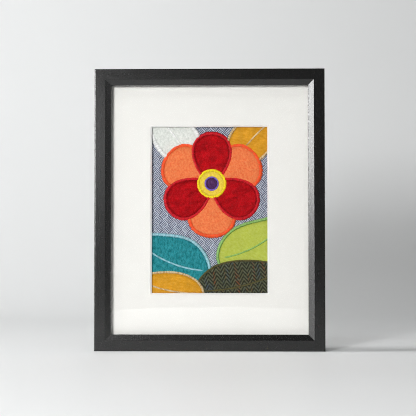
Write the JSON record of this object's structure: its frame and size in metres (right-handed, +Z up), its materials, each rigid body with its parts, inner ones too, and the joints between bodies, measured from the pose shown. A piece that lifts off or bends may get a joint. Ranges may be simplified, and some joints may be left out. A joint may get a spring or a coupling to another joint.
{
  "type": "framed textile picture",
  "caption": "Upright black wooden picture frame with glazing and a white window mat around an applique flower and leaves sewn on a tweed ground.",
  "frame": {"origin": "centre of the frame's bottom edge, midway through its depth, on the surface it stands on", "axes": "+Z up the picture, +X to the viewer's right, -Y out of the picture's front towards the viewer"},
  "size_m": [0.2252, 0.025, 0.276],
  "materials": {
    "black_painted_wood": "charcoal black satin paint with a fine grain",
    "clear_glass": "clear, glossy",
    "white_mat_board": "matt off-white paper facing, white bevelled core",
    "blue_tweed": "woven navy and white wool in a diagonal basket pattern",
    "brown_hardboard": "plain smooth hardboard",
    "galvanised_steel": "plain",
    "white_cloth": "off-white wool, woven",
    "white_thread": "white embroidery thread, dense satin stitch",
    "ochre_cloth": "ochre wool, woven",
    "ochre_thread": "beige embroidery thread, dense satin stitch",
    "teal_cloth": "teal wool with pale flecks, woven",
    "teal_thread": "pale blue embroidery thread, dense satin stitch",
    "lime_cloth": "yellow-green wool, woven",
    "lime_thread": "green embroidery thread, dense satin stitch",
    "tweed_cloth": "dark herringbone tweed with olive, rust and blue flecks, woven",
    "tweed_thread": "olive embroidery thread, dense satin stitch",
    "orange_cloth": "orange wool, woven",
    "orange_thread": "bright orange embroidery thread, dense satin stitch",
    "red_cloth": "deep red wool, woven",
    "red_thread": "bright red embroidery thread, dense satin stitch",
    "yellow_cloth": "yellow wool, woven",
    "yellow_thread": "bright yellow embroidery thread, dense satin stitch",
    "plum_cloth": "purple wool, woven",
    "plum_thread": "lavender embroidery thread, dense satin stitch"
  },
  "bodies": {
    "root": {"backing_board": "brown_hardboard", "flower_disc": "yellow_cloth", "flower_disc_edging": "yellow_thread", "flower_eye": "plum_cloth", "flower_eye_edging": "plum_thread", "glazing": "clear_glass", "ground_cloth": "blue_tweed", "leaf_lime": "lime_cloth", "leaf_lime_edging": "lime_thread", "leaf_lime_vein": "lime_thread", "leaf_ochre": "ochre_cloth", "leaf_ochre_edging": "ochre_thread", "leaf_ochre_vein": "ochre_thread", "leaf_small": "ochre_cloth", "leaf_small_edging": "ochre_thread", "leaf_small_vein": "ochre_thread", "leaf_teal": "teal_cloth", "leaf_teal_edging": "teal_thread", "leaf_teal_vein": "teal_thread", "leaf_tweed": "tweed_cloth", "leaf_tweed_edging": "tweed_thread", "leaf_tweed_vein": "tweed_thread", "leaf_white": "white_cloth", "leaf_white_edging": "white_thread", "leaf_white_vein": "white_thread", "petal_high": "red_cloth", "petal_high_edging": "red_thread", "petal_left": "orange_cloth", "petal_left_edging": "orange_thread", "petal_low": "orange_cloth", "petal_low_edging": "orange_thread", "petal_low_left": "red_cloth", "petal_low_left_edging": "red_thread", "petal_low_right": "red_cloth", "petal_low_right_edging": "red_thread", "petal_right": "orange_cloth", "petal_right_edging": "orange_thread", "rail_bottom": "black_painted_wood", "rail_left": "black_painted_wood", "rail_right": "black_painted_wood", "rail_top": "black_painted_wood", "tab_bottom": "galvanised_steel", "tab_left_high": "galvanised_steel", "tab_left_low": "galvanised_steel", "tab_right_high": "galvanised_steel", "tab_right_low": "galvanised_steel", "tab_top": "galvanised_steel", "window_mat": "white_mat_board"}
  },
  "joints": []
}
